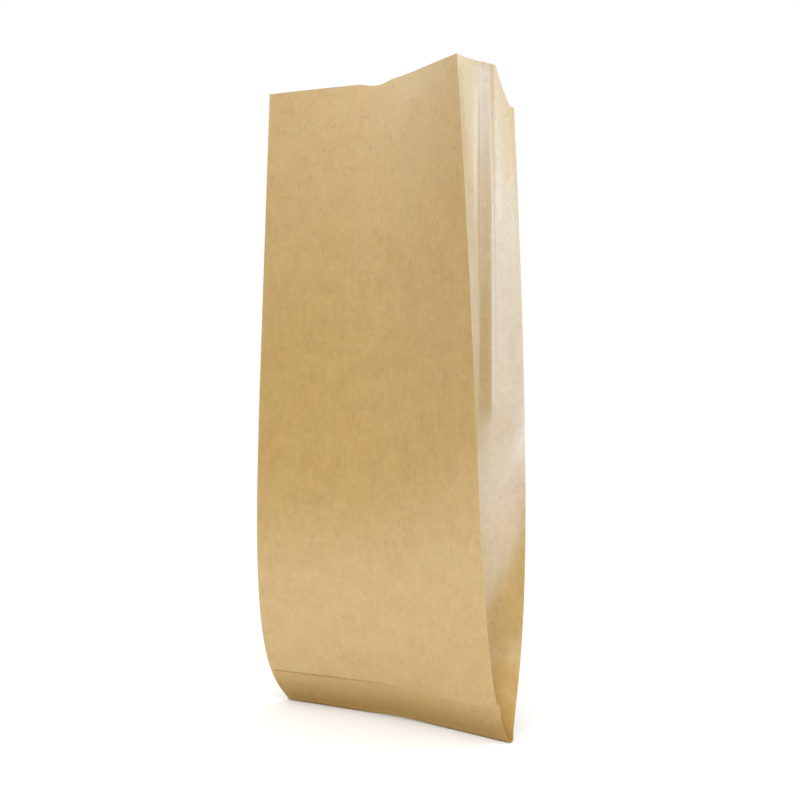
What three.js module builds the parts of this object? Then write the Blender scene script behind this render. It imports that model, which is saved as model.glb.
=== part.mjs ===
// Kraft paper bag: an empty bakery bag that stands open on its bottom fold.
// It is one folded sheet: a front and a back panel joined by two side gussets, pinched flat
// at the bottom, with the bottom end folded up over the front as a glued flap.
// Millimetres, +Z up, the front faces -Y, and the origin is under the middle of the bag's box.

import * as THREE from 'three';
import { mergeVertices } from 'three/addons/utils/BufferGeometryUtils.js';

// ---------------------------------------------------------------- driving dimensions

// The sheet.
const PANEL_WIDTH = 150; // front and back panel, measured along the paper
const BAG_HEIGHT = 350; // bottom fold to mouth, up the front panel
const GUSSET_STRIP = 29; // each of the two strips that make a side gusset
const STRIP_BOW = 0.03; // bow of a strip into the bag, as a share of half the gusset's gap
const WALL = 0.8; // thickness of this solid's paper; the real paper is about 0.1

// The bottom flap, folded up and glued over the front.
const FLAP_HEIGHT_LEFT = 18;
const FLAP_HEIGHT_RIGHT = 20;
const FLAP_THICKNESS = 0.8;

// The mouth. The back panel is cut lower than the front, through the back gusset strips.
const BACK_CUT = 16; // how far the back's edge lies below the front's
const CUT_START = 0.35; // where the slanting cut starts and ends, as a share of a strip
const CUT_END = 0.85;
const CORNER_DROP = 2; // the front's corners lean forward, so they end a little lower
const DIP_DEPTH = 2; // a shallow dip in the front's edge
const DIP_HALF_WIDTH = 14;
const DIP_PLACE = -6; // the dip's middle, right of the panel's

// The way the bag stands. The front bends about its middle line, forward at its edges.
const FOOT_BEND = 8; // degrees of slope at the front's edges, at the bottom fold
const MOUTH_BEND = 21.7; // and at the mouth
const FRONT_SOFTNESS = 0.3; // share of half a panel over which its bend is rounded
const BACK_SOFTNESS = 1;
const FOOT_TURN = 5.7; // degrees that the section turns, gained just above the fold
const FOOT_TURN_HEIGHT = 28;
const MOUTH_TURN = -14; // and lost again steadily up to the mouth
const PINCH_DEPTH = 3; // front to back at the bottom fold
const BELLY_DEPTH = 46.6; // depth gained as the bag opens above the fold
const BELLY_HEIGHT = 54;
const MOUTH_DEPTH = 8.2; // depth gained steadily up to the mouth
const FOOT_SLANT = 9; // degrees that the sides slant to the right at the fold
const MOUTH_SLANT = -10; // slant of the right side at the mouth, where the left has none
const CREASE_HEIGHT = 40; // height over which the gusset creases stop lying along the front
const FRONT_PLACE = -1; // the front's middle line at the fold, front to back
const FRONT_LEAN = 22.8; // how far it comes forward above the fold
const FRONT_LEAN_HEIGHT = 52;
const MOUTH_LEAN = 2; // and how much further up to the mouth
const FOOT_SHIFT = 8; // the fold's shift to the right, lost over the height below
const FOOT_SHIFT_HEIGHT = 25;
const MOUTH_SHIFT = -4.2;

// The solid's facets and its inside.
const PANEL_STEPS = 16; // facets across a panel
const STRIP_STEPS = 3; // facets across a gusset strip
const LEVELS_IN_FLAP = 4;
const LEVELS_ABOVE_FLAP = 22;
const FLAP_LEDGE = 0.05; // height over which the flap's top edge steps back
const INSIDE_FLOOR = 16; // below this the pinched layers are solid

// ---------------------------------------------------------------- the bag's section

const radians = THREE.MathUtils.degToRad;
const settle = (height, length) => 1 - Math.exp(-height / length);
const heading = (angle) => new THREE.Vector2(Math.sin(angle), Math.cos(angle)); // from +Y to +X

// A panel's points from its left to its right edge, with its middle at the origin. Each half
// is walked outward from the middle, and every step turns a little further forward.
function panelRow(bend, softness) {
  const step = PANEL_WIDTH / PANEL_STEPS;
  const halfSteps = PANEL_STEPS / 2;
  const right = [new THREE.Vector2(0, 0)];
  for (let i = 0; i < halfSteps; i++) {
    const share = (i + 0.5) / halfSteps;
    const slope = (bend * share * Math.hypot(1, softness)) / Math.hypot(share, softness);
    right.push(right[i].clone().add(new THREE.Vector2(Math.cos(slope), -Math.sin(slope)).multiplyScalar(step)));
  }
  const left = right.slice(1).reverse();
  return [...left.map((p) => new THREE.Vector2(-p.x, p.y)), ...right];
}

// The front panel at a height above the bottom fold.
function frontRow(height) {
  const rise = height / BAG_HEIGHT;
  const bend = radians(FOOT_BEND + (MOUTH_BEND - FOOT_BEND) * rise ** 1.5);
  const middle = new THREE.Vector2(
    FOOT_SHIFT * Math.exp(-height / FOOT_SHIFT_HEIGHT) + MOUTH_SHIFT * rise,
    FRONT_PLACE - FRONT_LEAN * settle(height, FRONT_LEAN_HEIGHT) - MOUTH_LEAN * rise,
  );
  const origin = new THREE.Vector2(0, 0);
  return panelRow(bend, FRONT_SOFTNESS).map((p) => p.rotateAround(origin, sectionTurn(height)).add(middle));
}

function sectionTurn(height) {
  return radians(FOOT_TURN * settle(height, FOOT_TURN_HEIGHT) + (MOUTH_TURN * height) / BAG_HEIGHT);
}

// The back panel between its two edges. Its width is fixed, so it bows backward by the slack
// that the distance between its edges leaves it.
function backRow(left, right) {
  const span = right.clone().sub(left);
  const slack = Math.max(1 - span.length() / PANEL_WIDTH, 0);
  const slackPerBend = ((1 + BACK_SOFTNESS ** 2) * (1 - BACK_SOFTNESS * Math.atan(1 / BACK_SOFTNESS))) / 2;
  const row = panelRow(Math.sqrt(slack / slackPerBend), BACK_SOFTNESS);
  const start = row[0].clone();
  const stretch = span.length() / (row.at(-1).x - start.x);
  const place = (p) => p.sub(start).multiplyScalar(stretch).add(left);
  return row.map((p) => place(p).rotateAround(left, span.angle()));
}

// A gusset from one panel's edge in to its crease and out to the other's, without both ends.
// The crease lies inward by what the two strips have left over, squarely between the panels
// or, as far as they are pinched together, along the way that they run.
function gussetPoints(from, to, panelWay, pinched) {
  const across = to.clone().sub(from);
  const halfGap = across.length() / 2;
  const inward = new THREE.Vector2(-across.y, across.x).normalize().lerp(panelWay, pinched).normalize();
  const crease = from.clone().lerp(to, 0.5);
  crease.addScaledVector(inward, Math.sqrt(Math.max(GUSSET_STRIP ** 2 - halfGap ** 2, 0)));
  const bow = STRIP_BOW * halfGap;
  return [...stripPoints(from, crease, bow), crease, ...stripPoints(crease, to, bow)];
}

// The points between a strip's two edges.
function stripPoints(from, to, bow) {
  const along = to.clone().sub(from);
  const bowWay = new THREE.Vector2(-along.y, along.x).normalize();
  const points = [];
  for (let i = 1; i < STRIP_STEPS; i++) {
    const share = i / STRIP_STEPS;
    points.push(from.clone().addScaledVector(along, share).addScaledVector(bowWay, bow * 4 * share * (1 - share)));
  }
  return points;
}

// The closed section, counter-clockwise from above, from the front's left edge. A flap's
// thickness moves the front's points forward.
function sectionLoop(height, flapThickness = 0) {
  const depth = Math.min(
    PINCH_DEPTH + BELLY_DEPTH * settle(height, BELLY_HEIGHT) + (MOUTH_DEPTH * height) / BAG_HEIGHT,
    2 * GUSSET_STRIP,
  );
  const rightSlant = radians(FOOT_SLANT + (MOUTH_SLANT - FOOT_SLANT) * (height / BAG_HEIGHT) ** 0.7);
  const leftSlant = radians(FOOT_SLANT * (1 - height / BAG_HEIGHT));
  const turn = sectionTurn(height);

  const front = frontRow(height);
  const backRight = front.at(-1).clone().addScaledVector(heading(rightSlant - turn), depth);
  const backLeft = front[0].clone().addScaledVector(heading(leftSlant - turn), depth);
  const back = backRow(backLeft, backRight).reverse();
  const pinched = Math.exp(-height / CREASE_HEIGHT);
  const right = gussetPoints(front.at(-1), backRight, front.at(-2).clone().sub(front.at(-1)).normalize(), pinched);
  const left = gussetPoints(backLeft, front[0], front[1].clone().sub(front[0]).normalize(), pinched);
  front.forEach((p) => p.addScaledVector(heading(-turn), -flapThickness));
  return [...front, ...right, ...back, ...left];
}

// Where each point of the loop lies: on which part, and how far across it. A gusset is
// crossed from the front edge, at 0, over the crease, at 1, to the back edge, at 2.
function loopPlaces() {
  const panel = (part) => Array.from({ length: PANEL_STEPS + 1 }, (_, i) => ({ part, across: i / PANEL_STEPS }));
  const gusset = Array.from({ length: 2 * STRIP_STEPS - 1 }, (_, i) => ({
    part: 'gusset',
    across: (i + 1) / STRIP_STEPS,
  }));
  return [...panel('front'), ...gusset, ...panel('back').reverse(), ...gusset.toReversed()];
}

// The height at which the paper ends at a place of the loop.
function mouthHeight({ part, across }) {
  if (part === 'back') return BAG_HEIGHT - BACK_CUT;
  if (part === 'gusset') {
    const cut = THREE.MathUtils.clamp((across - 1 - CUT_START) / (CUT_END - CUT_START), 0, 1);
    return BAG_HEIGHT - CORNER_DROP * (1 - cut) - BACK_CUT * cut;
  }
  const fromDip = Math.abs((across - 0.5) * PANEL_WIDTH - DIP_PLACE);
  const dip = DIP_DEPTH * THREE.MathUtils.smoothstep(DIP_HALF_WIDTH - fromDip, 0, DIP_HALF_WIDTH);
  return BAG_HEIGHT - CORNER_DROP * (2 * across - 1) ** 2 - dip;
}

// The height at which the flap ends. The gussets and the back have none, and only share it.
function flapHeight({ part, across }) {
  return part === 'front'
    ? THREE.MathUtils.lerp(FLAP_HEIGHT_LEFT, FLAP_HEIGHT_RIGHT, across)
    : FLAP_HEIGHT_RIGHT;
}

// ---------------------------------------------------------------- building the solid

// Moves a counter-clockwise loop inward by a distance, with mitred corners.
function insetLoop(loop, distance) {
  const inward = (from, to) => {
    const along = to.clone().sub(from).normalize();
    return new THREE.Vector2(-along.y, along.x);
  };
  return loop.map((point, i) => {
    const before = inward(loop.at(i - 1), point);
    const after = inward(point, loop[(i + 1) % loop.length]);
    return point.clone().addScaledVector(before.clone().add(after), distance / (1 + before.dot(after)));
  });
}

// One row of points round the bag, each place of the loop at a height of its own.
function rowAt(places, heightOf, loopAt) {
  return places.map((place, i) => {
    const height = heightOf(place);
    const point = loopAt(height)[i];
    return new THREE.Vector3(point.x, point.y, height);
  });
}

// Rows from a floor up to the mouth, where each strand ends at its own height.
function rowsToMouth(places, floorOf, loopAt) {
  return Array.from({ length: LEVELS_ABOVE_FLAP + 1 }, (_, level) => {
    const share = level / LEVELS_ABOVE_FLAP;
    return rowAt(places, (place) => THREE.MathUtils.lerp(floorOf(place), mouthHeight(place), share), loopAt);
  });
}

// Joins two rows with triangles that face outward if the rows run counter-clockwise and
// the second lies above the first.
function joinRows(triangles, lower, upper) {
  lower.forEach((a, i) => {
    const next = (i + 1) % lower.length;
    triangles.push([a, lower[next], upper[next]], [a, upper[next], upper[i]]);
  });
}

// Closes a row with a face that looks up or down.
function capRow(triangles, row, facingUp) {
  const outline = row.map((p) => new THREE.Vector2(p.x, p.y));
  for (const [a, b, c] of THREE.ShapeUtils.triangulateShape(outline, [])) {
    triangles.push(facingUp ? [row[a], row[b], row[c]] : [row[c], row[b], row[a]]);
  }
}

function bagGeometry() {
  const places = loopPlaces();
  const outside = [];
  for (let level = 0; level <= LEVELS_IN_FLAP; level++) {
    const share = level / LEVELS_IN_FLAP;
    const overFlap = (height) => sectionLoop(height, FLAP_THICKNESS);
    outside.push(rowAt(places, (place) => flapHeight(place) * share, overFlap));
  }
  outside.push(...rowsToMouth(places, (place) => flapHeight(place) + FLAP_LEDGE, sectionLoop));
  const inside = rowsToMouth(places, () => INSIDE_FLOOR, (height) => insetLoop(sectionLoop(height), WALL));

  const triangles = [];
  for (let i = 1; i < outside.length; i++) joinRows(triangles, outside[i - 1], outside[i]);
  for (let i = 1; i < inside.length; i++) joinRows(triangles, inside[i], inside[i - 1]);
  joinRows(triangles, outside.at(-1), inside.at(-1));
  capRow(triangles, outside[0], false);
  capRow(triangles, inside[0], true);

  const geometry = new THREE.BufferGeometry();
  const positions = triangles.flat().flatMap((p) => p.toArray());
  geometry.setAttribute('position', new THREE.Float32BufferAttribute(positions, 3));
  return geometry;
}

// Puts the origin under the middle of the solid's box.
function centreOnBase(geometry) {
  geometry.computeBoundingBox();
  const middle = geometry.boundingBox.getCenter(new THREE.Vector3());
  geometry.translate(-middle.x, -middle.y, -geometry.boundingBox.min.z);
  return mergeVertices(geometry);
}

// ---------------------------------------------------------------- the object

const kraftPaper = new THREE.MeshStandardMaterial({ color: 0xc9a26b, roughness: 0.55, metalness: 0 });

const paperBag = new THREE.Mesh(centreOnBase(bagGeometry()), kraftPaper);
paperBag.name = 'paper_bag';

const group = new THREE.Group();
group.add(paperBag);

export default group;
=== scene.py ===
"""A kraft paper bag that stands open and empty on its bottom fold, in a pale studio.

The bag is one flat sheet: a grid is added, and its points are carried to where the paper goes
when the sheet is folded into a front, a back, two side gussets and a bottom flap. The folds
follow the rules and sizes that the solid has. The bag's sizes are in millimetres. The finished
mesh and the stage are in metres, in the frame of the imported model.
"""

import math

import bpy
import numpy as np
from mathutils import Matrix, Vector, noise


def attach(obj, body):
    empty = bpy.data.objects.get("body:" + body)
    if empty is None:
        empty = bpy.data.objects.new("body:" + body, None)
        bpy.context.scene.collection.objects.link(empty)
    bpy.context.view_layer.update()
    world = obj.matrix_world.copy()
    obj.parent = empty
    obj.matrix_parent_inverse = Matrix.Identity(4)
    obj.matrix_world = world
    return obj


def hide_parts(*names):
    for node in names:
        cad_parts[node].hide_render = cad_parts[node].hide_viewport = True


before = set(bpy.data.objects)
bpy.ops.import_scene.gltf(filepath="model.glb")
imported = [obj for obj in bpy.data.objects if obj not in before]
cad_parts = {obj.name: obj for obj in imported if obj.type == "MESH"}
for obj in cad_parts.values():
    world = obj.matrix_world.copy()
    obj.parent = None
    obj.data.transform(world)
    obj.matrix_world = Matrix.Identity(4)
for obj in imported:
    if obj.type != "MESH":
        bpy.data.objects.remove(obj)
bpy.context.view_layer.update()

bl_info = {
    "name": "Kraft Paper Bag",
    "version": (1, 0, 0),
    "blender": (4, 5, 0),
    "location": "View3D > Sidebar > Paper Bag",
    "description": "Folds a kraft paper bag from a flat sheet and sets a pale studio round it",
    "category": "Object",
}

MM = 0.001

# ------------------------------------------------------------------ sizes of the bag, in mm

# The panels, the gussets' strips and how far these bow, as a share of half their gap.
PANEL_WIDTH = 150.0
BAG_HEIGHT = 350.0
GUSSET_STRIP = 29.0
STRIP_BOW = 0.03

# The bottom flap: how high and thick it is, how far its top is carried aside, the share by which
# its layers are pressed together from PRESS_START upward, and how much shorter its innermost
# layer is.
FLAP_HEIGHT_LEFT = 18.0
FLAP_HEIGHT_RIGHT = 20.0
FLAP_THICKNESS = 0.4
FLAP_SKEW = 2.0
FLAP_PRESS = 0.62
PRESS_START = 0.7
FLAP_STEP = 6.0

# The mouth: how much lower the back is cut, where on a gusset's back strip the cut starts and
# ends, how much lower the corners and higher the gussets' creases are, and the front's dip.
BACK_CUT = 16.0
CUT_START = 0.35
CUT_END = 0.85
CORNER_DROP = 2.0
CREASE_LIFT = 3.6
DIP_DEPTH = 2.0
DIP_HALF_WIDTH = 14.0
DIP_PLACE = -6.0

# The panels' bends and the sections' turns and slants, in degrees, at the foot and the mouth.
FOOT_BEND = 8.0
MOUTH_BEND = 21.7
BEND_GROWTH = 1.5
FRONT_SOFTNESS = 0.3
BACK_SOFTNESS = 1.0
FOOT_TURN = 5.7
FOOT_TURN_HEIGHT = 28.0
MOUTH_TURN = -14.0
FOOT_SLANT = 9.0
MOUTH_SLANT = -10.0
SLANT_GROWTH = 0.7

# How deep the bag is from front to back, and the height in which its pinch opens.
PINCH_DEPTH = 3.0
BELLY_DEPTH = 46.6
BELLY_HEIGHT = 54.0
MOUTH_DEPTH = 8.2
CREASE_HEIGHT = 40.0

# Where the front panel's middle stands, and how it leans and shifts with height.
FRONT_PLACE = -1.0
FRONT_LEAN = 22.8
FRONT_LEAN_HEIGHT = 52.0
MOUTH_LEAN = 2.0
FOOT_SHIFT = 8.0
FOOT_SHIFT_HEIGHT = 25.0
MOUTH_SHIFT = -4.2

# Steps of the sheet's grid, and of the sections that its points are worked out from. Across the
# sheet, the strands are as far apart as in the section at UNROLLED_HEIGHT.
PANEL_STEPS = 64
STRIP_STEPS = 20
SEAM_STEPS = 6
BODY_ROWS = 170
FLAP_ROWS = 9
ROLL_ROWS = 8
SECTION_STEP = 1.0
BELOW_LAST = 0.001
UNROLLED_HEIGHT = 210.0

# How the layers lie at the bottom, where they roll over, and how the foot curls forward.
ROLL_CENTRE = 1.9
ROLL_FADE = 12.0
LAYER_GAP = 0.06
FOLD_WIDTH = 2.5
FOOT_CURL = 2.0
CURL_REACH = 16.0
CURL_WAY = (0.0, -1.0)

# The paper's low relief. Waves and crumples are noise: a height, a size across the sheet and
# up it, and a layer of the noise. A rise or fall starts at a distance and takes a length.
WAVES = ((0.45, 46.0, 95.0, 3.1), (0.16, 17.0, 31.0, 8.4))
WAVE_RISE = (14.0, 60.0)
WAVE_EDGE = (0.0, 9.0)
CRUMPLE = (0.24, 7.0, 9.0, 5.7)
CRUMPLE_RISE = (8.0, 14.0)
CRUMPLE_FALL = (55.0, 60.0)
CRUMPLE_EDGE = (0.0, 4.0)
SWELL_SLOPE = 0.42
SWELL_STEEPER = 0.1
SWELL_PLACE = 7.0
SWELL_SOFTNESS = 0.3
SWELL_RISE = (125.0, 50.0)
STEEPER_RISE = (130.0, 150.0)
LOW_BOW = 1.0
BOW_RISE = (16.0, 20.0)
BOW_FALL = (85.0, 50.0)
SEAM_LIFT = 0.2
SEAM_RISE = (20.0, 12.0)
SEAM_AT_FOOT = 0.12
SEAM_BESIDE = 0.35

# How near a strand is to a fold that it lies on, the angle in degrees from which an edge is
# sharp, and the length below which a vector has no direction.
CREASE_TOLERANCE = 0.01
CREASE_ANGLE = 50.0
SHORTEST = 1e-9


# ------------------------------------------------------------------ how the sheet is folded


def settle(height, length):
    """0 at the foot, and nearer to 1 with each length of height."""
    return 1 - math.exp(-height / length)


def heading(angle):
    """The unit vector at an angle from +Y towards +X."""
    return np.array([math.sin(angle), math.cos(angle)])


def turned(points, angle):
    """Points turned anticlockwise about the origin."""
    c, s = math.cos(angle), math.sin(angle)
    return points @ np.array([[c, s], [-s, c]])


def unit(vector):
    """The vector's direction, with length 1."""
    return vector / max(np.linalg.norm(vector), SHORTEST)


def panel_row(bend, softness):
    """A panel's points from left to right, with its middle at the origin."""
    half = PANEL_STEPS // 2
    share = (np.arange(half) + 0.5) / half
    slope = bend * share * math.hypot(1, softness) / np.hypot(share, softness)
    steps = np.stack([np.cos(slope), -np.sin(slope)], 1) * (PANEL_WIDTH / PANEL_STEPS)
    right = np.vstack([[0.0, 0.0], np.cumsum(steps, 0)])
    left = right[:0:-1] * [-1, 1]
    return np.vstack([left, right])


def section_turn(height):
    """How far the section at a height is turned clockwise, in radians."""
    return math.radians(
        FOOT_TURN * settle(height, FOOT_TURN_HEIGHT) + MOUTH_TURN * height / BAG_HEIGHT
    )


def front_row(height):
    """The front panel's points at a height, from left to right."""
    rise = height / BAG_HEIGHT
    bend = math.radians(FOOT_BEND + (MOUTH_BEND - FOOT_BEND) * rise**BEND_GROWTH)
    middle = np.array(
        [
            FOOT_SHIFT * math.exp(-height / FOOT_SHIFT_HEIGHT) + MOUTH_SHIFT * rise,
            FRONT_PLACE
            - FRONT_LEAN * settle(height, FRONT_LEAN_HEIGHT)
            - MOUTH_LEAN * rise,
        ]
    )
    return turned(panel_row(bend, FRONT_SOFTNESS), section_turn(height)) + middle


def back_row(left, right):
    """The back panel between its edges, bowed backward by the slack that its width has."""
    span = right - left
    length = np.linalg.norm(span)
    slack = max(1 - length / PANEL_WIDTH, 0)
    soft = BACK_SOFTNESS
    slack_per_bend = (1 + soft**2) * (1 - soft * math.atan(1 / soft)) / 2
    row = panel_row(math.sqrt(slack / slack_per_bend), soft)
    row = (row - row[0]) * (length / (row[-1, 0] - row[0, 0]))
    return turned(row, math.atan2(span[1], span[0])) + left


def strip_points(start, end, bow):
    """The points between a strip's two edges."""
    along = end - start
    bow_way = unit(np.array([-along[1], along[0]]))
    share = (np.arange(1, STRIP_STEPS) / STRIP_STEPS)[:, None]
    return start + along * share + bow_way * (bow * 4 * share * (1 - share))


def gusset_points(start, end, panel_way, pinched):
    """A gusset from one panel's edge in to its crease and out to the other's."""
    across = end - start
    half_gap = np.linalg.norm(across) / 2
    square = unit(np.array([-across[1], across[0]]))
    inward = unit(square * (1 - pinched) + panel_way * pinched)
    crease = (start + end) / 2 + inward * math.sqrt(max(GUSSET_STRIP**2 - half_gap**2, 0))
    bow = STRIP_BOW * half_gap
    return np.vstack(
        [strip_points(start, crease, bow), [crease], strip_points(crease, end, bow)]
    )


def section_loop(height):
    """The closed section, anticlockwise from above, from the front's left edge."""
    depth = min(
        PINCH_DEPTH
        + BELLY_DEPTH * settle(height, BELLY_HEIGHT)
        + MOUTH_DEPTH * height / BAG_HEIGHT,
        2 * GUSSET_STRIP,
    )
    rise = height / BAG_HEIGHT
    right_slant = math.radians(FOOT_SLANT + (MOUTH_SLANT - FOOT_SLANT) * rise**SLANT_GROWTH)
    left_slant = math.radians(FOOT_SLANT * (1 - rise))
    turn = section_turn(height)
    front = front_row(height)
    back_right = front[-1] + heading(right_slant - turn) * depth
    back_left = front[0] + heading(left_slant - turn) * depth
    back = back_row(back_left, back_right)[::-1]
    pinched = math.exp(-height / CREASE_HEIGHT)
    right = gusset_points(front[-1], back_right, unit(front[-2] - front[-1]), pinched)
    left = gusset_points(back_left, front[0], unit(front[1] - front[0]), pinched)
    return np.vstack([front, right, back, left])


# Where each strand of the loop lies: the part, and how far across it. A gusset is crossed
# from the front edge, at 0, over the crease, at 1, to the back edge, at 2.
PANEL_SHARES = np.arange(PANEL_STEPS + 1) / PANEL_STEPS
GUSSET_SHARES = np.arange(1, 2 * STRIP_STEPS) / STRIP_STEPS
LOOP_PARTS = (
    ["front"] * (PANEL_STEPS + 1)
    + ["right"] * (2 * STRIP_STEPS - 1)
    + ["back"] * (PANEL_STEPS + 1)
    + ["left"] * (2 * STRIP_STEPS - 1)
)
LOOP_SHARES = np.concatenate(
    [PANEL_SHARES, GUSSET_SHARES, PANEL_SHARES[::-1], GUSSET_SHARES[::-1]]
)
LOOP_SIZE = len(LOOP_PARTS)
BACK_MIDDLE = PANEL_STEPS + 2 * STRIP_STEPS + PANEL_STEPS // 2


def smooth(x):
    """0 below 0, 1 above 1, and smooth between."""
    x = np.clip(x, 0, 1)
    return x * x * (3 - 2 * x)


def rising(values, start, length):
    """0 up to the start, 1 a length beyond it, and smooth between."""
    return smooth((values - start) / length)


def mouth_height(part, across):
    """The height at which the paper ends."""
    if part == "back":
        return BAG_HEIGHT - BACK_CUT
    if part in ("left", "right"):
        cut = min(max((across - 1 - CUT_START) / (CUT_END - CUT_START), 0), 1)
        lift = CREASE_LIFT * min(across, 1) * (1 - cut)
        return BAG_HEIGHT + lift - CORNER_DROP * (1 - cut) - BACK_CUT * cut
    from_dip = abs((across - 0.5) * PANEL_WIDTH - DIP_PLACE)
    dip = DIP_DEPTH * float(smooth((DIP_HALF_WIDTH - from_dip) / DIP_HALF_WIDTH))
    return BAG_HEIGHT - CORNER_DROP * (2 * across - 1) ** 2 - dip


def facing_front(part, across):
    """Where on the front panel a strand of the pinched tube lies, as a share across it."""
    if part in ("front", "back"):
        return across
    from_edge = min(across, 2 - across) * GUSSET_STRIP / PANEL_WIDTH
    return from_edge if part == "left" else 1 - from_edge


def layer_place(part, across):
    """How far behind the front panel a strand's layer lies in the pinch, from 0 to 1. Both
    strips of a gusset lie in the middle, and run over to the panels beside the folds."""
    if part in ("front", "back"):
        return 0.0 if part == "front" else 1.0
    inner = 0.5 * float(smooth(min(across, 2 - across) * GUSSET_STRIP / FOLD_WIDTH))
    return inner if across < 1 else 1 - inner


def sheet_strands():
    """The strands of the loop in the order of the flat sheet, from its hidden edge at the
    back's middle round to the glued edge that overlaps it."""
    start = BACK_MIDDLE - SEAM_STEPS // 2
    order = [(start + i) % LOOP_SIZE for i in range(LOOP_SIZE + SEAM_STEPS + 1)]
    return np.array(order)


def unrolled(strands):
    """The distance of each strand from the sheet's first edge, in mm."""
    reference = section_loop(UNROLLED_HEIGHT)
    steps = np.linalg.norm(np.diff(reference[strands], axis=0), axis=1)
    return np.concatenate([[0.0], np.cumsum(steps)])


def sampled_sections():
    """The sections from the foot to the mouth, SECTION_STEP apart."""
    heights = np.arange(0, BAG_HEIGHT + SECTION_STEP, SECTION_STEP)
    return np.array([section_loop(h) for h in heights])


def section_at(sections, strands, heights):
    """Points of the strands at a height each, from the sections on both sides of it. The
    pinched section at the foot is carried up to where the layers start to roll over."""
    carried = heights - ROLL_CENTRE * np.exp((ROLL_CENTRE - heights) / ROLL_FADE)
    place = np.clip(carried / SECTION_STEP, 0, len(sections) - 1 - BELOW_LAST)
    low = place.astype(int)
    share = (place - low)[:, None]
    points = sections[low, strands] * (1 - share) + sections[low + 1, strands] * share
    rise = (heights - ROLL_CENTRE) / CURL_REACH
    return points + np.outer(FOOT_CURL * rise * np.exp(1 - rise), CURL_WAY)


def front_points(sections, facing, heights):
    """Points of the front panel, at a share across it and a height each."""
    place = facing * PANEL_STEPS
    low = np.clip(place.astype(int), 0, PANEL_STEPS - 1)
    share = (place - low)[:, None]
    left, right = (section_at(sections, strand, heights) for strand in (low, low + 1))
    return left * (1 - share) + right * share


def flap_row(sections, facing, layer, share):
    """A row of the flap that lies on the front panel. Its cut edge has the share 1, and the row
    from which it rolls over has 0."""
    top = FLAP_HEIGHT_LEFT + (FLAP_HEIGHT_RIGHT - FLAP_HEIGHT_LEFT) * facing
    top -= FLAP_STEP * (1 - layer)
    heights = ROLL_CENTRE + (top - ROLL_CENTRE) * share
    foot_way, top_way = (-heading(-section_turn(h)) for h in (0.0, FLAP_HEIGHT_RIGHT))
    way = foot_way * (1 - share) + top_way * share
    aside = np.array([-way[1], way[0]]) * (FLAP_SKEW * share)
    gap = LAYER_GAP + (FLAP_THICKNESS - LAYER_GAP) * layer
    gap *= 1 - FLAP_PRESS * rising(share, PRESS_START, 1 - PRESS_START)
    flat = front_points(sections, facing, heights) + way * gap[:, None] + aside
    return np.column_stack([flat, heights])


def folded_rows(strands, facing, layer, mouth):
    """The sheet's rows of points from the flap's cut edge over the bottom fold to the mouth,
    and how far up the flat sheet from that fold each point lies."""
    sections = sampled_sections()
    base = section_at(sections, strands, np.full(len(strands), ROLL_CENTRE))
    flap_base = flap_row(sections, facing, layer, 0.0)[:, :2]
    middle = (base + flap_base) / 2
    half = np.linalg.norm(base - flap_base, axis=1) / 2
    roll_length = math.pi * half
    rows, up_sheet = [], []
    for share in 1 - np.arange(FLAP_ROWS) / FLAP_ROWS:
        row = flap_row(sections, facing, layer, share)
        rows.append(row)
        up_sheet.append(ROLL_CENTRE - row[:, 2] - roll_length)
    for share in np.arange(ROLL_ROWS) / ROLL_ROWS:
        flat = middle + (flap_base - middle) * math.cos(math.pi * share)
        deep = np.minimum(half, ROLL_CENTRE) * math.sin(math.pi * share)
        rows.append(np.column_stack([flat, ROLL_CENTRE - deep]))
        up_sheet.append(-roll_length * (1 - share))
    for share in np.arange(BODY_ROWS + 1) / BODY_ROWS:
        heights = ROLL_CENTRE + (mouth - ROLL_CENTRE) * share
        rows.append(np.column_stack([section_at(sections, strands, heights), heights]))
        up_sheet.append(heights - ROLL_CENTRE)
    return np.array(rows), np.array(up_sheet)


def on_strands(rule, parts, shares):
    """What a rule says for each strand, from its part and how far across that it lies."""
    return np.array([rule(part, across) for part, across in zip(parts, shares)])


def folded_sheet():
    """The folded sheet: points (rows, strands, xyz), the sheet's own coordinates in mm, the
    middle of the bag's box, which the finished points are measured from, and each strand's part
    and share across it."""
    strands = sheet_strands()
    parts = [LOOP_PARTS[i] for i in strands]
    shares = LOOP_SHARES[strands]
    rules = (facing_front, layer_place, mouth_height)
    facing, layer, mouth = (on_strands(rule, parts, shares) for rule in rules)
    points, up_sheet = folded_rows(strands, facing, layer, mouth)
    low, high = points.min((0, 1)), points.max((0, 1))
    middle = np.array([(low[0] + high[0]) / 2, (low[1] + high[1]) / 2, 0.0])
    across_sheet = np.broadcast_to(unrolled(strands), up_sheet.shape)
    return points, np.stack([across_sheet, up_sheet], 2), middle, parts, shares


def outward_normals(points):
    """The direction in which the paper's outside faces at each point."""
    along = np.gradient(points, axis=1)
    up = np.gradient(points, axis=0)
    normal = np.cross(along, up)
    return normal / np.maximum(np.linalg.norm(normal, axis=2, keepdims=True), SHORTEST)


def noise_field(coordinates, across_size, up_size, layer):
    """Noise over the whole sheet, from about -1 to 1."""
    field = np.zeros(coordinates.shape[:2])
    for place in np.ndindex(field.shape):
        across, up = coordinates[place]
        field[place] = noise.noise(Vector((across / across_size, up / up_size, layer)))
    return field


def seam_share(strand_count):
    """The share of the seam's lift that each strand has: the glued lap is at the sheet's end."""
    share = np.zeros(strand_count)
    share[-SEAM_STEPS - 1 :] = 1
    share[-SEAM_STEPS - 2] = SEAM_BESIDE
    return share


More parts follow.
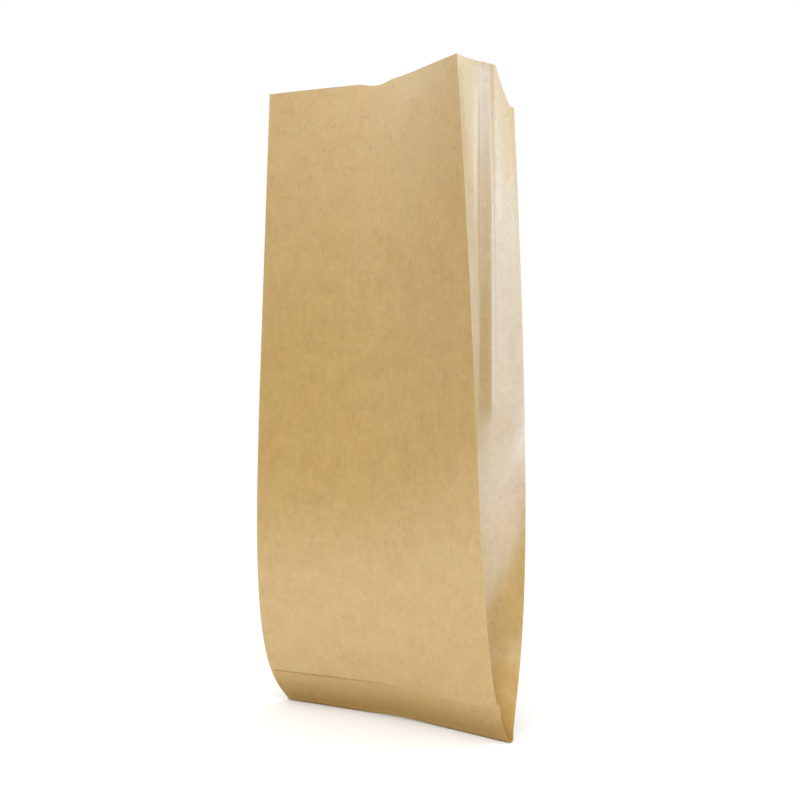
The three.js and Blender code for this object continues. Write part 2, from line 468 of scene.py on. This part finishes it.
def relief(points, coordinates, parts, shares):
    """How far the paper stands off its smooth course, in mm."""
    height = points[:, :, 2]
    rules = (edge_distance, strip_swell, strip_bow)
    from_edge, swell, bow = (on_strands(rule, parts, shares) for rule in rules)
    in_gusset = np.array([part in ("left", "right") for part in parts])
    waves = sum(size * noise_field(coordinates, *spread) for size, *spread in WAVES)
    off = waves * rising(height, *WAVE_RISE) * rising(from_edge, *WAVE_EDGE)
    steeper = 1 + SWELL_STEEPER / SWELL_SLOPE * rising(height, *STEEPER_RISE)
    off += swell * steeper * rising(height, *SWELL_RISE)
    off -= LOW_BOW * bow * rising(height, *BOW_RISE) * (1 - rising(height, *BOW_FALL))
    crumple_size, *spread = CRUMPLE
    crumple = crumple_size * noise_field(coordinates, *spread)
    crumple *= in_gusset * rising(from_edge, *CRUMPLE_EDGE)
    off += crumple * rising(height, *CRUMPLE_RISE) * (1 - rising(height, *CRUMPLE_FALL))
    seam = SEAM_AT_FOOT + (1 - SEAM_AT_FOOT) * rising(height, *SEAM_RISE)
    return off + SEAM_LIFT * seam_share(len(parts)) * seam


def strip_swell(part, across):
    """How far a gusset's back strip stands out, in mm: beside the crease it still follows the
    flat fold, and bends away from it along a soft line."""
    if part in ("front", "back") or across < 1:
        return 0.0
    from_crease = (across - 1) * GUSSET_STRIP
    rise = SWELL_SLOPE * from_crease
    fall = SWELL_SLOPE * SWELL_PLACE * (GUSSET_STRIP - from_crease)
    fall /= GUSSET_STRIP - SWELL_PLACE
    soft = SWELL_SOFTNESS
    return max(-soft * math.log(math.exp(-rise / soft) + math.exp(-fall / soft)), 0.0)


def strip_bow(part, across):
    """How much of its bow a gusset's back strip has at a strand, from 0 to 1."""
    if part in ("front", "back") or across < 1:
        return 0.0
    return 4 * (across - 1) * (2 - across)


def edge_distance(part, across):
    """How far a strand is from the nearest crease of the bag, in mm."""
    if part in ("front", "back"):
        return min(across, 1 - across) * PANEL_WIDTH
    return min(across, abs(1 - across), 2 - across) * GUSSET_STRIP


# ------------------------------------------------------------------ shader maths


class Value:
    """A socket that Python's operators add Math nodes to."""

    def __init__(self, shader, socket):
        self.shader = shader
        self.socket = socket

    def _math(self, operation, *values):
        node = self.shader.node("ShaderNodeMath", {"operation": operation})
        for i, value in enumerate(values):
            self.shader.feed(node.inputs[i], value)
        return Value(self.shader, node.outputs[0])

    def __add__(self, other):
        return self._math("ADD", self, other)

    def __sub__(self, other):
        return self._math("SUBTRACT", self, other)

    def __mul__(self, other):
        return self._math("MULTIPLY", self, other)

    def __radd__(self, other):
        return self._math("ADD", other, self)

    def __rsub__(self, other):
        return self._math("SUBTRACT", other, self)

    def __rmul__(self, other):
        return self._math("MULTIPLY", other, self)

    def size(self):
        """The number without its sign."""
        return self._math("ABSOLUTE", self)

    def least(self, other):
        """The smaller of two."""
        return self._math("MINIMUM", self, other)


class Shader:
    """The node tree of a material or a world, filled one node at a time."""

    def __init__(self, owner):
        owner.use_nodes = True
        self.tree = owner.node_tree
        self.tree.nodes.clear()

    def feed(self, socket, value):
        """Links a socket to another, or sets its own value."""
        if isinstance(value, Value):
            value = value.socket
        if isinstance(value, bpy.types.NodeSocket):
            self.tree.links.new(value, socket)
        else:
            socket.default_value = value

    def node(self, kind, settings=None, inputs=None):
        """A node of a type, with its settings made first and then its sockets fed."""
        node = self.tree.nodes.new(kind)
        for key, value in (settings or {}).items():
            setattr(node, key, value)
        for key, value in (inputs or {}).items():
            self.feed(node.inputs[key], value)
        return node

    def value(self, kind, settings=None, inputs=None, output=0):
        """One output of a new node, for the operators."""
        return Value(self, self.node(kind, settings, inputs).outputs[output])

    def mix(self, factor, first, second):
        """The first colour where the factor is 0, and the second where it is 1."""
        node = self.node("ShaderNodeMix", {"data_type": "RGBA"})
        self.feed(node.inputs[0], factor)
        self.feed(node.inputs[6], first)
        self.feed(node.inputs[7], second)
        return node.outputs[2]

    def step(self, value, low, high):
        """0 below low, 1 above high, and smooth between."""
        return self.value(
            "ShaderNodeMapRange",
            {"interpolation_type": "SMOOTHSTEP"},
            {"Value": value, "From Min": low, "From Max": high},
        )

    def steps(self, value, shares):
        """The sum of several steps, each a share, a low and a high."""
        return sum(share * self.step(value, low, high) for share, low, high in shares)


def rgb(colour):
    """A colour as a socket takes it, with its alpha."""
    return (*colour, 1.0)


# ------------------------------------------------------------------ the materials

# The paper's grain: how wide and how long its patches are, in mm, and the noise's detail and
# roughness.
GRAINS = {
    "clouds": (13.0, 11.0, 3.0, 0.5),
    "mottle": (3.8, 3.4, 2.0, 0.5),
    "streaks": (2.8, 15.0, 2.0, 0.5),
    "fibre": (0.7, 3.6, 2.0, 0.5),
    "flecks": (1.9, 3.6, 1.0, 0.4),
    "drift": (21.0, 26.0, 2.0, 0.5),
    "patches": (8.0, 10.0, 1.0, 0.5),
    "pale": (1.3, 3.8, 1.0, 0.4),
}

# The tints over the clouds: the grain, the levels between which it sets in, its strength and
# its colour.
TINTS = (
    ("drift", 0.4, 0.62, 0.45, "straw"),
    ("mottle", 0.35, 0.75, 0.3, "light"),
    ("streaks", 0.45, 0.8, 0.2, "light"),
    ("fibre", 0.35, 0.75, 0.09, "shade"),
)
CLOUD_LEVELS = (0.3, 0.72)
PALE_LEVELS = (0.66, 0.82)
FLECK_LEVELS = (0.64, 0.8)
PATCH_LEVELS = (0.44, 0.6)

# The strength of a tint away from the mouth, and what is added where hands held the paper. Near the
# mouth the paper is also painted lighter, a painted sheen.
PALE_STRENGTH = (0.3, 0.3)
FLECK_STRENGTH = (0.32, 0.2)
TOP_SHEEN_STRENGTH = 0.2
HANDLED_AND_TOP_LIT_HEIGHTS = (230.0, 330.0)

# Along the folds the paper is painted pale within a distance in mm, for wear and a painted
# highlight, and on the flap it is painted dark as shade between heights of the sheet, less towards
# the cut edge. The pairs of strengths say the least, and what the grain or the height adds.
FOLD_WEAR_AND_HIGHLIGHT_REACH = (0.1, 0.9)
FOLD_WEAR_AND_HIGHLIGHT_STRENGTH = (0.2, 0.5)
FOOT_SHADE_HEIGHTS = (-8.0, 14.0)
FOOT_SHADE_EDGE_HEIGHTS = (-24.0, -7.0)
FOOT_SHADE_STRENGTH = (0.32, 0.68)
FOOT_SHADE_CLOUDS = (0.7, 0.6)

# The depth of the bump in metres and the grains that make it, and how much the grain and the
# pressing change the roughness and the glaze.
BUMP_DEPTH = 0.00006
BUMP_SHARES = {"fibre": 0.35, "mottle": 1.2, "clouds": 2.0}
ROUGHNESS_SPREAD = 0.1
GLAZE_SPREAD = 0.5
GLAZE_LOSS = 0.75
PAPER_IOR = 1.45

# How each face of the paper looks: the machine-glazed outside, the duller inside and the cut.
OUTSIDE = {
    "fold_shade": 0.4,
    "bump": 0.5,
    "roughness": 0.42,
    "glaze": 1.0,
    "glaze_roughness": 0.25,
    "glaze_ior": 2.5,
    "shine": 0.1,
    "translucency": 0.04,
}
INSIDE = {
    "fold_shade": 0.2,
    "bump": 0.8,
    "roughness": 0.75,
    "glaze": 0.0,
    "glaze_roughness": 0.5,
    "glaze_ior": 1.5,
    "shine": 0.4,
    "translucency": 0.08,
}
CUT_EDGE = {**INSIDE, "fold_shade": 0.0, "roughness": 0.85, "translucency": 0.1}
FACES = {"kraft_outside": OUTSIDE, "kraft_inside": INSIDE, "kraft_cut_edge": CUT_EDGE}

# The floor's unevenness, and the colours that it throws back on the bag near its middle and far
# away, with the distances in metres between which they change.
FLOOR_DARKER = 0.985
FLOOR_ROUGHNESS = 0.7
BLOTCH_SCALE = 3.0
BOUNCE_NEAR = (0.7, 0.67, 0.6, 1.0)
BOUNCE_FAR = (0.18, 0.17, 0.16, 1.0)
BOUNCE_REACH = (0.15, 1.15)


def sheet_place(shader):
    """The sheet's own coordinates: across the paper and up it, in mm."""
    uv = shader.node("ShaderNodeUVMap", {"uv_map": "sheet"}).outputs[0]
    return shader.node(
        "ShaderNodeVectorMath",
        {"operation": "SCALE"},
        {"Vector": uv, "Scale": 1 / MM},
    ).outputs[0]


def stretched(shader, place, along, up):
    """Coordinates in which a pattern is along mm wide and up mm long."""
    return shader.node(
        "ShaderNodeMapping",
        {"vector_type": "POINT"},
        {"Vector": place, "Scale": (1 / along, 1 / up, 1.0)},
    ).outputs[0]


def grain(shader, place, along, up, detail, roughness):
    """Noise whose patches are along mm wide and up mm long."""
    return shader.value(
        "ShaderNodeTexNoise",
        {"noise_dimensions": "2D"},
        {
            "Vector": stretched(shader, place, along, up),
            "Scale": 1.0,
            "Detail": detail,
            "Roughness": roughness,
        },
    )


def wear(shader, across, up, mottle, folds):
    """Where hands held the paper and the top is painted lighter as sheen, where the folds have wear
    and a painted highlight, and where the flap has painted shade.
    """
    from_fold = (across - folds[0]).size()
    for fold in folds[1:]:
        from_fold = from_fold.least((across - fold).size())
    # Near the mouth: more flecks, and a painted lighter top that stands in for sheen.
    handled_and_top_lit = shader.step(up, *HANDLED_AND_TOP_LIT_HEIGHTS)
    # Along the folds: wear, and a painted highlight where the folds catch the light.
    least, more = FOLD_WEAR_AND_HIGHLIGHT_STRENGTH
    fold_wear_and_highlight = (1 - shader.step(from_fold, *FOLD_WEAR_AND_HIGHLIGHT_REACH)) * (least + more * mottle)
    # On the flap: painted shade, darker towards the bottom fold and less towards the cut edge.
    least, more = FOOT_SHADE_STRENGTH
    foot_shade = 1 - shader.step(up, *FOOT_SHADE_HEIGHTS)
    foot_shade *= least + more * shader.step(up, *FOOT_SHADE_EDGE_HEIGHTS)
    return handled_and_top_lit, fold_wear_and_highlight, foot_shade


def paper_colour(shader, colours, grains, handled_and_top_lit, fold_wear_and_highlight, painted_foot_shade):
    """The paper's clouds, with one tint after the other over them."""
    pale = shader.step(grains["pale"], *PALE_LEVELS)
    pale *= PALE_STRENGTH[0] + PALE_STRENGTH[1] * handled_and_top_lit
    flecked = shader.step(grains["flecks"], *FLECK_LEVELS)
    flecked *= shader.step(grains["patches"], *PATCH_LEVELS)
    flecked *= FLECK_STRENGTH[0] + FLECK_STRENGTH[1] * handled_and_top_lit
    tints = [
        (strength * shader.step(grains[name], low, high), colour)
        for name, low, high, strength, colour in TINTS
    ]
    # Of these tints, the first is a painted lighter top, the fold tint is wear with a painted
    # highlight, and the last is painted shade on the flap.
    tints += [
        (TOP_SHEEN_STRENGTH * handled_and_top_lit, "light"),
        (pale, "light"),
        (flecked, "fleck_and_shade"),
        (fold_wear_and_highlight, "light"),
        (painted_foot_shade, "fleck_and_shade"),
    ]
    cloudy = shader.step(grains["clouds"], *CLOUD_LEVELS)
    base = shader.mix(cloudy, rgb(colours.shade), rgb(colours.paper))
    for strength, colour in tints:
        base = shader.mix(strength, base, rgb(getattr(colours, colour)))
    return base


def kraft_paper(name, colours, face, folds):
    """Kraft paper: cloudy fibre, streaks along the web, dark and pale flecks. It is painted pale
    along its lengthwise folds, for wear and a painted highlight, painted lighter near the mouth as
    sheen, and painted darker on the flap towards the bottom fold as shade."""
    material = bpy.data.materials.new(name)
    shader = Shader(material)
    place = sheet_place(shader)
    parts = shader.node("ShaderNodeSeparateXYZ", None, {0: place})
    across, up = Value(shader, parts.outputs[0]), Value(shader, parts.outputs[1])
    grains = {key: grain(shader, place, *sizes) for key, sizes in GRAINS.items()}
    clouds, mottle, fibre = grains["clouds"], grains["mottle"], grains["fibre"]
    handled_and_top_lit, fold_wear_and_highlight, foot_shade = wear(shader, across, up, mottle, folds)
    # Painted shade on the flap, in the colour of the dark flecks.
    painted_foot_shade = foot_shade * face["fold_shade"] * (FOOT_SHADE_CLOUDS[0] + FOOT_SHADE_CLOUDS[1] * clouds)
    base = paper_colour(shader, colours, grains, handled_and_top_lit, fold_wear_and_highlight, painted_foot_shade)

    bump = shader.node(
        "ShaderNodeBump",
        None,
        {
            "Height": sum(share * grains[key] for key, share in BUMP_SHARES.items()),
            "Distance": BUMP_DEPTH,
            "Strength": face["bump"],
        },
    )
    rough = face["roughness"] + ROUGHNESS_SPREAD * ((fibre - 0.5) + (clouds - 0.5))
    # The glaze is also weaker where the flap's shade is painted.
    glaze = face["glaze"] * (1 + GLAZE_SPREAD * (mottle - 0.5)) * (1 - GLAZE_LOSS * foot_shade)
    body = shader.node(
        "ShaderNodeBsdfPrincipled",
        None,
        {
            "Base Color": base,
            "Roughness": rough,
            "Coat Weight": glaze.least(1.0),
            "Coat Roughness": face["glaze_roughness"],
            "Coat IOR": face["glaze_ior"],
            "IOR": PAPER_IOR,
            "Specular IOR Level": face["shine"],
            "Normal": bump.outputs[0],
        },
    )
    through = shader.node(
        "ShaderNodeBsdfTranslucent",
        None,
        {"Color": rgb(colours.paper), "Normal": bump.outputs[0]},
    )
    mixed = shader.node(
        "ShaderNodeMixShader",
        None,
        {0: face["translucency"], 1: body.outputs[0], 2: through.outputs[0]},
    )
    shader.node("ShaderNodeOutputMaterial", None, {"Surface": mixed.outputs[0]})
    return material


def pale_floor(name, colour):
    """The floor: pale and matt, with the faintest unevenness. The camera sees it whiter than
    the light it throws back on the bag, as on the bright floor of a product photograph."""
    material = bpy.data.materials.new(name)
    shader = Shader(material)
    place = shader.node("ShaderNodeTexCoord").outputs["Object"]
    blotch = shader.value("ShaderNodeTexNoise", None, {"Vector": place, "Scale": BLOTCH_SCALE})
    darker = tuple(c * FLOOR_DARKER for c in colour)
    base = shader.mix(blotch, rgb(colour), rgb(darker))
    seen = shader.node(
        "ShaderNodeBsdfPrincipled", None, {"Base Color": base, "Roughness": FLOOR_ROUGHNESS}
    )
    away = shader.value("ShaderNodeVectorMath", {"operation": "LENGTH"}, {0: place}, "Value")
    thrown_colour = shader.mix(shader.step(away, *BOUNCE_REACH), BOUNCE_NEAR, BOUNCE_FAR)
    thrown = shader.node(
        "ShaderNodeBsdfPrincipled",
        None,
        {"Base Color": thrown_colour, "Roughness": 1.0, "Specular IOR Level": 0.0},
    )
    ray = shader.node("ShaderNodeLightPath").outputs["Is Camera Ray"]
    mixed = shader.node(
        "ShaderNodeMixShader", None, {0: ray, 1: thrown.outputs[0], 2: seen.outputs[0]}
    )
    shader.node("ShaderNodeOutputMaterial", None, {"Surface": mixed.outputs[0]})
    return material


# ------------------------------------------------------------------ modelling steps


def deselect_all():
    """Leaves edit mode and deselects everything."""
    if bpy.context.object and bpy.context.object.mode != "OBJECT":
        bpy.ops.object.mode_set(mode="OBJECT")
    bpy.ops.object.select_all(action="DESELECT")


def add_grid(name, across, up):
    """A flat grid with its own UV map, as the first sheet of paper."""
    deselect_all()
    bpy.ops.mesh.primitive_grid_add(
        x_subdivisions=across, y_subdivisions=up, size=1.0, calc_uvs=True
    )
    sheet = bpy.context.object
    sheet.name = name
    sheet.data.name = name
    if len(sheet.data.vertices) != (across + 1) * (up + 1):
        raise RuntimeError("the grid has another number of points than the sheet needs")
    return sheet


def place_points(sheet, points):
    """Carries the grid's points to their places, in metres."""
    sheet.data.vertices.foreach_set("co", points.reshape(-1))
    sheet.data.update()


def write_sheet_map(sheet, coordinates):
    """Stores the sheet's own coordinates, in metres, as its UV map."""
    layer = sheet.data.uv_layers[0]
    layer.name = "sheet"
    corner_points = np.zeros(len(sheet.data.loops), np.int32)
    sheet.data.loops.foreach_get("vertex_index", corner_points)
    flat = (coordinates.reshape(-1, 2) * MM)[corner_points]
    layer.data.foreach_set("uv", flat.reshape(-1).astype(np.float32))


def mark_creases(sheet, strand_count, columns):
    """Marks the sheet's lengthwise folds as sharp."""
    wanted = set(columns)
    for edge in sheet.data.edges:
        a, b = edge.vertices
        if abs(a - b) == strand_count and a % strand_count in wanted:
            edge.use_edge_sharp = True


def add_paper_wall(sheet, thickness):
    """Gives the sheet its thickness, inward from the outside, with its own inside and edge."""
    wall = sheet.modifiers.new("paper wall", "SOLIDIFY")
    wall.thickness = thickness
    wall.offset = -1.0
    wall.material_offset = 1
    wall.material_offset_rim = 2
    wall.use_even_offset = False
    wall.use_quality_normals = True
    deselect_all()
    bpy.context.view_layer.objects.active = sheet
    sheet.select_set(True)
    bpy.ops.object.modifier_apply(modifier=wall.name)
    bpy.ops.object.shade_smooth_by_angle(angle=math.radians(CREASE_ANGLE), keep_sharp_edges=True)


# ------------------------------------------------------------------ sizes a user may change


class PaperSettings(bpy.types.PropertyGroup):
    thickness: bpy.props.FloatProperty(
        name="Paper thickness",
        description="Thickness of the paper",
        default=0.0001,
        min=0.00005,
        max=0.0005,
        unit="LENGTH",
    )
    paper: bpy.props.FloatVectorProperty(
        name="Paper",
        description="Colour of the paper",
        subtype="COLOR",
        size=3,
        default=(0.53, 0.335, 0.100),
        min=0,
        max=1,
    )
    shade: bpy.props.FloatVectorProperty(
        name="Shade",
        description="Colour of the paper's darker clouds",
        subtype="COLOR",
        size=3,
        default=(0.48, 0.295, 0.084),
        min=0,
        max=1,
    )
    straw: bpy.props.FloatVectorProperty(
        name="Straw",
        description="Colour of the paper's greener clouds",
        subtype="COLOR",
        size=3,
        default=(0.485, 0.34, 0.098),
        min=0,
        max=1,
    )
    # Also the colour of the painted highlight along the folds and of the painted lighter top.
    light: bpy.props.FloatVectorProperty(
        name="Light",
        description="Colour of the paper's pale fibres",
        subtype="COLOR",
        size=3,
        default=(0.62, 0.42, 0.16),
        min=0,
        max=1,
    )
    # Also the colour of the painted shade on the flap.
    fleck_and_shade: bpy.props.FloatVectorProperty(
        name="Fleck",
        description="Colour of the paper's dark flecks",
        subtype="COLOR",
        size=3,
        default=(0.30, 0.175, 0.06),
        min=0,
        max=1,
    )


class StudioSettings(bpy.types.PropertyGroup):
    floor: bpy.props.FloatVectorProperty(
        name="Floor",
        description="Colour of the floor",
        subtype="COLOR",
        size=3,
        default=(0.77, 0.78, 0.815),
        min=0,
        max=1,
    )
    key_power: bpy.props.FloatProperty(
        name="Key light",
        description="Power of the soft light above, in front of the bag",
        default=16.0,
        min=0,
        unit="POWER",
    )
    left_power: bpy.props.FloatProperty(
        name="Left light",
        description="Power of the soft light above, at the bag's left",
        default=5.5,
        min=0,
        unit="POWER",
    )
    right_power: bpy.props.FloatProperty(
        name="Right light",
        description="Power of the row of lights at the bag's right",
        default=10.2,
        min=0,
        unit="POWER",
    )
    low_power: bpy.props.FloatProperty(
        name="Low light",
        description="Power of the low light on the floor at the bag's right",
        default=0.22,
        min=0,
        unit="POWER",
    )
    room: bpy.props.FloatProperty(
        name="Room",
        description="Brightness of the whole room",
        default=0.115,
        min=0,
        max=2,
    )
    backdrop: bpy.props.FloatProperty(
        name="Backdrop",
        description="Brightness of the white backdrop behind the bag",
        default=0.36,
        min=0,
        max=3,
    )
    ceiling: bpy.props.FloatProperty(
        name="Ceiling",
        description="Brightness of the room above the bag",
        default=0.83,
        min=0,
        max=3,
    )
    left_wall: bpy.props.FloatProperty(
        name="Left wall",
        description="Brightness of the wall at the bag's left",
        default=0.26,
        min=0,
        max=3,
    )


# ------------------------------------------------------------------ the pieces


class BAG_OT_fold_sheet(bpy.types.Operator):
    """Fold the kraft sheet into the standing bag"""

    bl_idname = "paper_bag.fold_sheet"
    bl_label = "Fold the Bag"
    bl_options = {"REGISTER", "UNDO"}

    def execute(self, context):
        settings = context.scene.paper_bag
        points, coordinates, middle, parts, shares = folded_sheet()
        off = relief(points, coordinates, parts, shares)
        points = points + outward_normals(points) * off[:, :, None] - middle
        rows, strands = points.shape[:2]
        sheet = add_grid("kraft_bag", strands - 1, rows - 1)
        place_points(sheet, points * MM)
        write_sheet_map(sheet, coordinates)
        creases = [
            i for i in range(1, strands - 1) if edge_distance(parts[i], shares[i]) < CREASE_TOLERANCE
        ]
        mark_creases(sheet, strands, creases)
        folds = [float(coordinates[0, i, 0]) for i in creases]
        for name, face in FACES.items():
            sheet.data.materials.append(kraft_paper(name, settings, face, folds))
        add_paper_wall(sheet, settings.thickness)
        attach(sheet, "root")
        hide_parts("paper_bag")
        return {"FINISHED"}


# ------------------------------------------------------------------ the stage

# The camera: its place in mm, measured like the sheet before its box is centred, and its angles
# in degrees.
CAMERA_PLACE = (430.9, -608.54, 155.65)
CAMERA_AZIMUTH = 35.47
CAMERA_PITCH = 1.528
CAMERA_ROLL = 2.582
LENS = 60.0
SENSOR_WIDTH = 36.0
CLIP_START = 0.01

FLOOR_RADIUS = 1.3
FLOOR_SIDES = 96
BAG_MIDDLE = 0.17

# The soft lights: the setting of their power and the share of it, the azimuth, the height and
# the distance from the bag, the size, and the colour. Azimuth 0 is in front of the bag, and 90
# at its right. The right light is a row of four, so that it can be brighter towards the back.
PLAIN = (1.0, 1.0, 1.0)
COOL = (0.73, 0.965, 1.36)
RIGHT_SIZE = (0.42, 0.62)
RIGHT_LONG_SIZE = (1.26, 0.62)
SOFT_LIGHTS = {
    "key light": ("key_power", 1.0, 28, 1.45, 1.15, (0.8, 0.8), PLAIN),
    "left light": ("left_power", 1.0, -60, 1.6, 1.15, (0.9, 0.9), PLAIN),
    "right light front": ("right_power", 0.08, 78, 0.34, 1.6, RIGHT_SIZE, COOL),
    "right light near": ("right_power", 0.22, 93, 0.34, 1.6, RIGHT_SIZE, COOL),
    "right light long": ("right_power", 0.32, 123, 0.34, 1.6, RIGHT_LONG_SIZE, COOL),
    "right light back": ("right_power", 0.5, 153, 0.34, 1.6, RIGHT_SIZE, COOL),
    "low right light": ("low_power", 1.0, 88, 0.055, 0.55, (0.58, 0.1), COOL),
}

# The surround: where its wall and its backdrop are, and in which shares each part sets in, as a
# share, a low and a high of the direction's part that way.
ROOM_COLOUR = (1.03, 1.0, 0.9, 1.0)
SEEN_COLOUR = (1.0, 1.0, 1.0, 1.0)
LEFT_WAY = (-0.866, -0.5, 0.0)
BACKDROP_WAY = (-0.3, 0.954, 0.0)
LEFT_STEPS = ((1.0, 0.5, 0.95),)
BACKDROP_STEPS = ((0.66, 0.1, 0.75), (0.34, -0.25, 0.1))
CEILING_STEPS = ((0.34, 0.1, 0.2), (0.7, 0.17, 0.27))


def camera_matrix(place):
    """The matrix of the camera at a place, turned by its azimuth, pitch and roll."""
    a, p, r = (math.radians(x) for x in (CAMERA_AZIMUTH, CAMERA_PITCH, CAMERA_ROLL))
    ahead = Vector((-math.sin(a) * math.cos(p), math.cos(a) * math.cos(p), math.sin(p)))
    level = Vector((math.cos(a), math.sin(a), 0))
    upright = level.cross(ahead)
    right = level * math.cos(r) + upright * math.sin(r)
    up = upright * math.cos(r) - level * math.sin(r)
    turn = Matrix((right, up, -ahead)).transposed()
    return Matrix.Translation(place) @ turn.to_4x4()


def point_light(light, place, target):
    """Puts a light at a place and turns it to a target."""
    light.location = place
    way = Vector(target) - Vector(place)
    light.rotation_euler = way.to_track_quat("-Z", "Y").to_euler()


def add_soft_light(name, power, azimuth, height, distance, size, colour):
    """A rectangular soft light that faces the bag."""
    deselect_all()
    bpy.ops.object.light_add(type="AREA")
    light = bpy.context.object
    light.name = name
    light.data.shape = "RECTANGLE"
    light.data.size, light.data.size_y = size
    light.data.energy = power
    light.data.color = colour
    a = math.radians(azimuth)
    place = (distance * math.sin(a), -distance * math.cos(a), height)
    point_light(light, place, (0, 0, min(height, BAG_MIDDLE)))


class BAG_OT_set_stage(bpy.types.Operator):
    """Set the floor, the surround, the lights and the camera"""

    bl_idname = "paper_bag.set_stage"
    bl_label = "Set the Stage"
    bl_options = {"REGISTER", "UNDO"}

    def execute(self, context):
        studio = context.scene.paper_bag_studio
        self.add_floor(studio)
        self.add_surround(context.scene, studio)
        for name, (setting, share, *rest) in SOFT_LIGHTS.items():
            add_soft_light(name, getattr(studio, setting) * share, *rest)
        self.add_camera(context.scene)
        context.scene.view_settings.view_transform = "Standard"
        return {"FINISHED"}

    def add_floor(self, studio):
        deselect_all()
        bpy.ops.mesh.primitive_circle_add(
            vertices=FLOOR_SIDES, radius=FLOOR_RADIUS, fill_type="NGON", location=(0, 0, 0)
        )
        floor = bpy.context.object
        floor.name = "studio_floor"
        floor.data.materials.append(pale_floor("pale_floor", tuple(studio.floor)))

    def add_surround(self, scene, studio):
        world = bpy.data.worlds.new("pale surround")
        scene.world = world
        shader = Shader(world)
        way = shader.node("ShaderNodeTexCoord").outputs["Generated"]
        behind, leftward = (
            shader.value(
                "ShaderNodeVectorMath", {"operation": "DOT_PRODUCT"}, {0: way, 1: aim}, "Value"
            )
            for aim in (BACKDROP_WAY, LEFT_WAY)
        )
        height = shader.value("ShaderNodeSeparateXYZ", None, {0: way}, "Z")
        level = studio.room + studio.left_wall * shader.steps(leftward, LEFT_STEPS)
        level += studio.backdrop * shader.steps(behind, BACKDROP_STEPS)
        level += studio.ceiling * shader.steps(height, CEILING_STEPS)
        lit = shader.node(
            "ShaderNodeBackground", None, {"Color": ROOM_COLOUR, "Strength": level}
        )
        seen = shader.node("ShaderNodeBackground", None, {"Color": SEEN_COLOUR})
        ray = shader.node("ShaderNodeLightPath").outputs["Is Camera Ray"]
        mixed = shader.node(
            "ShaderNodeMixShader", None, {0: ray, 1: lit.outputs[0], 2: seen.outputs[0]}
        )
        shader.node("ShaderNodeOutputWorld", None, {"Surface": mixed.outputs[0]})

    def add_camera(self, scene):
        deselect_all()
        bpy.ops.object.camera_add()
        camera = bpy.context.object
        camera.name = "camera"
        camera.data.lens = LENS
        camera.data.sensor_width = SENSOR_WIDTH
        camera.data.clip_start = CLIP_START
        middle = folded_sheet()[2]
        camera.matrix_world = camera_matrix((Vector(CAMERA_PLACE) - Vector(middle)) * MM)
        scene.camera = camera


class BAG_PT_panel(bpy.types.Panel):
    """The bag's settings and steps"""

    bl_idname = "BAG_PT_panel"
    bl_label = "Kraft Paper Bag"
    bl_space_type = "VIEW_3D"
    bl_region_type = "UI"
    bl_category = "Paper Bag"

    def draw(self, context):
        layout = self.layout
        for settings in (context.scene.paper_bag, context.scene.paper_bag_studio):
            box = layout.box()
            for name in settings.__annotations__:
                box.prop(settings, name)
        for operator in (BAG_OT_fold_sheet, BAG_OT_set_stage):
            layout.operator(operator.bl_idname)


CLASSES = (
    PaperSettings,
    StudioSettings,
    BAG_OT_fold_sheet,
    BAG_OT_set_stage,
    BAG_PT_panel,
)


def register():
    for cls in CLASSES:
        bpy.utils.register_class(cls)
    bpy.types.Scene.paper_bag = bpy.props.PointerProperty(type=PaperSettings)
    bpy.types.Scene.paper_bag_studio = bpy.props.PointerProperty(type=StudioSettings)


def unregister():
    del bpy.types.Scene.paper_bag_studio
    del bpy.types.Scene.paper_bag
    for cls in reversed(CLASSES):
        bpy.utils.unregister_class(cls)


def main():
    register()
    bpy.ops.paper_bag.fold_sheet()
    bpy.ops.paper_bag.set_stage()


if __name__ == "__main__":
    main()
